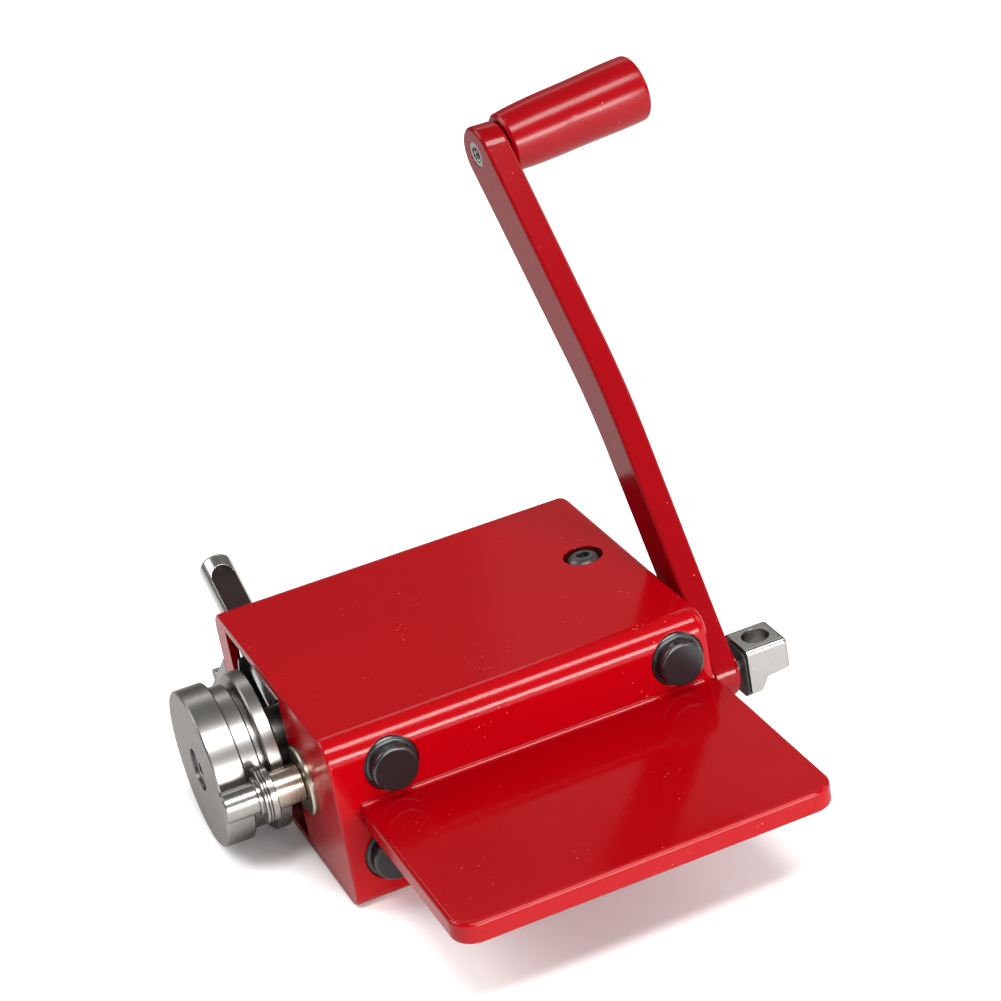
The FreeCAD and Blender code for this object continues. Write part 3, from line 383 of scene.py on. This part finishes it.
lever_edge = soft_edge(lever_tree, 0.3 * MM)
lever_bumps = bump_node(lever_tree, lever_grain, 0.00002, 0.3, lever_edge)
lever_tree.links.new(lever_bumps, lever_shader.inputs["Normal"])
dress("lever", lever_paint)


# Blocks and bracket: sawn and milled steel bar left unpainted, screwed to the housing's walls.
# The bracket is bright and dull; the blocks inside are painted near black as painted shade.
def dull_steel(name, dark, light, gloss):
    material, tree, shader = new_material(name)
    place = tree.nodes.new("ShaderNodeTexCoord").outputs["Object"]
    mapping = tree.nodes.new("ShaderNodeMapping")
    mapping.inputs["Scale"].default_value = (1.0, 6.0, 1.0)
    tree.links.new(place, mapping.inputs["Vector"])
    grain = noise_node(tree, mapping.outputs[0], 300.0, 5.0, 0.6)
    stain = noise_node(tree, place, 45.0, 4.0, 0.55)
    tree.links.new(blend_colours(tree, stain, dark, light), shader.inputs["Base Color"])
    tree.links.new(span_node(tree, grain, gloss, gloss + 0.2), shader.inputs["Roughness"])
    edge = soft_edge(tree, 0.3 * MM)
    tree.links.new(bump_node(tree, grain, 0.00004, 0.3, edge), shader.inputs["Normal"])
    shader.inputs["Metallic"].default_value = 0.8
    return material


dress("lever_stop_bracket", dull_steel("bracket_steel", (0.13, 0.13, 0.125), (0.2, 0.195, 0.185), 0.4))
# Painted shade: the blocks inside the housing are coloured near black.
shaded_block_steel = dull_steel("block_steel", (0.02, 0.019, 0.018), (0.045, 0.042, 0.04), 0.45)
for node in ("pressure_bearing_block", "end_bearing_block"):
    dress(node, shaded_block_steel)

# Bushings and the sleeve: bronze turned on a lathe and pressed into their blocks and the roller.
# They are warm grey and a little tarnished.
bronze_dark = (0.3, 0.255, 0.2)
bronze_light = (0.42, 0.365, 0.3)
bronze = turned_metal("mandrel_bronze", "mandrel_spin", bronze_dark, bronze_light, 0.24)
for node in ("mandrel_bushing", "mandrel_tail_bushing", "eccentric_bushing", "roller_bush", "spacer_sleeve"):
    dress(node, bronze)
dress("crank_bushing", turned_metal("crank_bronze", "crank_spin", bronze_dark, bronze_light, 0.24))

# Drive block, spindle and nut: bright plated steel with softly rounded edges.
# The block sits on the crank shaft's end, and the nut holds the spindle in the arm's head.
bright = turned_metal("bright_steel", "crank_spin", (0.27, 0.262, 0.25), (0.33, 0.32, 0.306), 0.26, 0.1)
for node in ("drive_block", "grip_spindle", "grip_nut"):
    dress(node, bright)


# Screws, clips and shield in black oxide steel, caps in moulded plastic and the seal in rubber.
# The caps are pushed into their holes, and the seal fills the drive block's mouth.
def black_finish(name, colour, gloss, grain):
    material, tree, shader = new_material(name)
    film = use_group(tree, paint_film, Peel_Scale=grain)
    tone_colour = blend_colours(tree, film.outputs["Tone"], colour, tuple(c * 1.8 for c in colour))
    tree.links.new(tone_colour, shader.inputs["Base Color"])
    tree.links.new(span_node(tree, film.outputs["Peel"], gloss, gloss + 0.15), shader.inputs["Roughness"])
    edge = soft_edge(tree, 0.3 * MM)
    tree.links.new(bump_node(tree, film.outputs["Peel"], 0.00005, 0.3, edge), shader.inputs["Normal"])
    return material


dress("plug_caps", black_finish("cap_plastic", (0.004, 0.004, 0.0045), 0.15, 1500.0))
screw_black = black_finish("screw_oxide", (0.010, 0.009, 0.009), 0.3, 2500.0)
for node in ("block_screws", "top_screw", "base_screws", "bracket_screw", "roller_screw", "collar_screw",
             "crank_set_screw", "mandrel_clip", "crank_clip", "slot_shield"):
    dress(node, screw_black)
dress("drive_block_seal", black_finish("seal_rubber", (0.006, 0.006, 0.006), 0.45, 1800.0))


# Dust nibs: grains caught under the paint while it was wet, on the front face and the vise plate.
# A Geometry Nodes tree scatters small round grains over a patch, sunk to half their height.
def nib_tree():
    tree = bpy.data.node_groups.new("paint_nibs", "GeometryNodeTree")
    tree.interface.new_socket("Patch", in_out="INPUT", socket_type="NodeSocketGeometry")
    for name, kind in (("Density", "NodeSocketFloat"), ("Grain", "NodeSocketFloat"),
                       ("Seed", "NodeSocketInt"), ("Paint", "NodeSocketMaterial")):
        tree.interface.new_socket(name, in_out="INPUT", socket_type=kind)
    tree.interface.new_socket("Nibs", in_out="OUTPUT", socket_type="NodeSocketGeometry")
    start = tree.nodes.new("NodeGroupInput")
    end = tree.nodes.new("NodeGroupOutput")
    scatter = tree.nodes.new("GeometryNodeDistributePointsOnFaces")
    grain = tree.nodes.new("GeometryNodeMeshIcoSphere")
    grain.inputs["Subdivisions"].default_value = 2
    sizes = tree.nodes.new("FunctionNodeRandomValue")
    low = [s for s in sizes.inputs if s.name == "Min" and s.type == "VALUE"][0]
    high = [s for s in sizes.inputs if s.name == "Max" and s.type == "VALUE"][0]
    low.default_value = 0.35
    high.default_value = 1.0
    place = tree.nodes.new("GeometryNodeInstanceOnPoints")
    real = tree.nodes.new("GeometryNodeRealizeInstances")
    finish = tree.nodes.new("GeometryNodeSetMaterial")
    link = tree.links.new
    link(start.outputs["Patch"], scatter.inputs["Mesh"])
    link(start.outputs["Density"], scatter.inputs["Density"])
    link(start.outputs["Seed"], scatter.inputs["Seed"])
    link(start.outputs["Grain"], grain.inputs["Radius"])
    link(scatter.outputs["Points"], place.inputs["Points"])
    link(grain.outputs["Mesh"], place.inputs["Instance"])
    link([s for s in sizes.outputs if s.type == "VALUE"][0], place.inputs["Scale"])
    link(place.outputs["Instances"], real.inputs["Geometry"])
    link(real.outputs["Geometry"], finish.inputs["Geometry"])
    link(start.outputs["Paint"], finish.inputs["Material"])
    link(finish.outputs["Geometry"], end.inputs["Nibs"])
    return tree


def grown_by_nodes(name, corners, tree, values, body):
    # Runs a Geometry Nodes tree on a patch with these corners and keeps its result as a plain mesh.
    patch = bpy.data.meshes.new(name + "_patch")
    patch.from_pydata(corners, [], [(0, 1, 2, 3)])
    holder = bpy.data.objects.new(name + "_patch", patch)
    bpy.context.scene.collection.objects.link(holder)
    modifier = holder.modifiers.new("grow", "NODES")
    modifier.node_group = tree
    for item in tree.interface.items_tree:
        if item.name in values:
            modifier[item.identifier] = values[item.name]
    bpy.context.view_layer.update()
    seen = bpy.context.evaluated_depsgraph_get()
    mesh = bpy.data.meshes.new_from_object(holder.evaluated_get(seen))
    bpy.data.objects.remove(holder)
    piece = bpy.data.objects.new(name, mesh)
    bpy.context.scene.collection.objects.link(piece)
    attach(piece, body)
    return piece


nibs = nib_tree()
nib_paint = red_enamel("nib_paint", 1000.0, 0.12)
plate_low, plate_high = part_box("vise_plate")
front_y = housing_low[1]
plate_top = 43 * MM
face_left = housing_low[0] + 34 * MM
face_right = housing_high[0] - 30 * MM
face_foot = plate_top + 4 * MM
face_head = housing_high[2] - 10 * MM
face_patch = [(face_left, front_y, face_foot), (face_right, front_y, face_foot),
              (face_right, front_y, face_head), (face_left, front_y, face_head)]
face_values = {"Density": 60000.0, "Grain": 0.2 * MM, "Seed": 5, "Paint": nib_paint}
grown_by_nodes("front_nibs", face_patch, nibs, face_values, "frame")
plate_margin = 8 * MM
plate_back = front_y - 4 * MM
plate_left = plate_low[0] + plate_margin
plate_right = plate_high[0] - plate_margin
plate_front = plate_low[1] + plate_margin
plate_patch = [(plate_left, plate_front, plate_top), (plate_right, plate_front, plate_top),
               (plate_right, plate_back, plate_top), (plate_left, plate_back, plate_top)]
plate_values = {"Density": 9000.0, "Grain": 0.15 * MM, "Seed": 9, "Paint": nib_paint}
grown_by_nodes("plate_nibs", plate_patch, nibs, plate_values, "frame")

# Nut thread: the fine thread cut inside the grip's nut, in the nut's own steel.
# It is a ridge with three edges that winds along the grip's axis.
nut_low, nut_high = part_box("grip_nut")
nut_middle = (Vector(nut_low) + Vector(nut_high)) / 2
grip_axis = Vector(joints["grip_spin"]["axis"]).normalized()
thread_pitch = 0.8 * MM
thread_turns = 5
thread_steps = 40
thread_half_width = thread_pitch * 0.45
thread_outer = 3.32 * MM
thread_inner = 2.8 * MM
side = grip_axis.orthogonal().normalized()
other = grip_axis.cross(side)
thread_start = nut_middle - grip_axis * (thread_pitch * thread_turns / 2)
ridge_points = []
for step in range(thread_turns * thread_steps + 1):
    turn = 2 * math.pi * step / thread_steps
    way = side * math.cos(turn) + other * math.sin(turn)
    along = thread_start + grip_axis * (thread_pitch * step / thread_steps)
    ridge_points.append(along + way * thread_outer - grip_axis * thread_half_width)
    ridge_points.append(along + way * thread_inner)
    ridge_points.append(along + way * thread_outer + grip_axis * thread_half_width)
ridge_faces = []
for step in range(thread_turns * thread_steps):
    a = 3 * step
    b = a + 3
    ridge_faces.append((a, a + 1, b + 1, b))
    ridge_faces.append((a + 1, a + 2, b + 2, b + 1))
thread_mesh = bpy.data.meshes.new("nut_thread")
thread_mesh.from_pydata([tuple(point) for point in ridge_points], [], ridge_faces)
for polygon in thread_mesh.polygons:
    polygon.use_smooth = True
thread_mesh.materials.append(bright)
nut_thread = bpy.data.objects.new("nut_thread", thread_mesh)
bpy.context.scene.collection.objects.link(nut_thread)
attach(nut_thread, "crank")
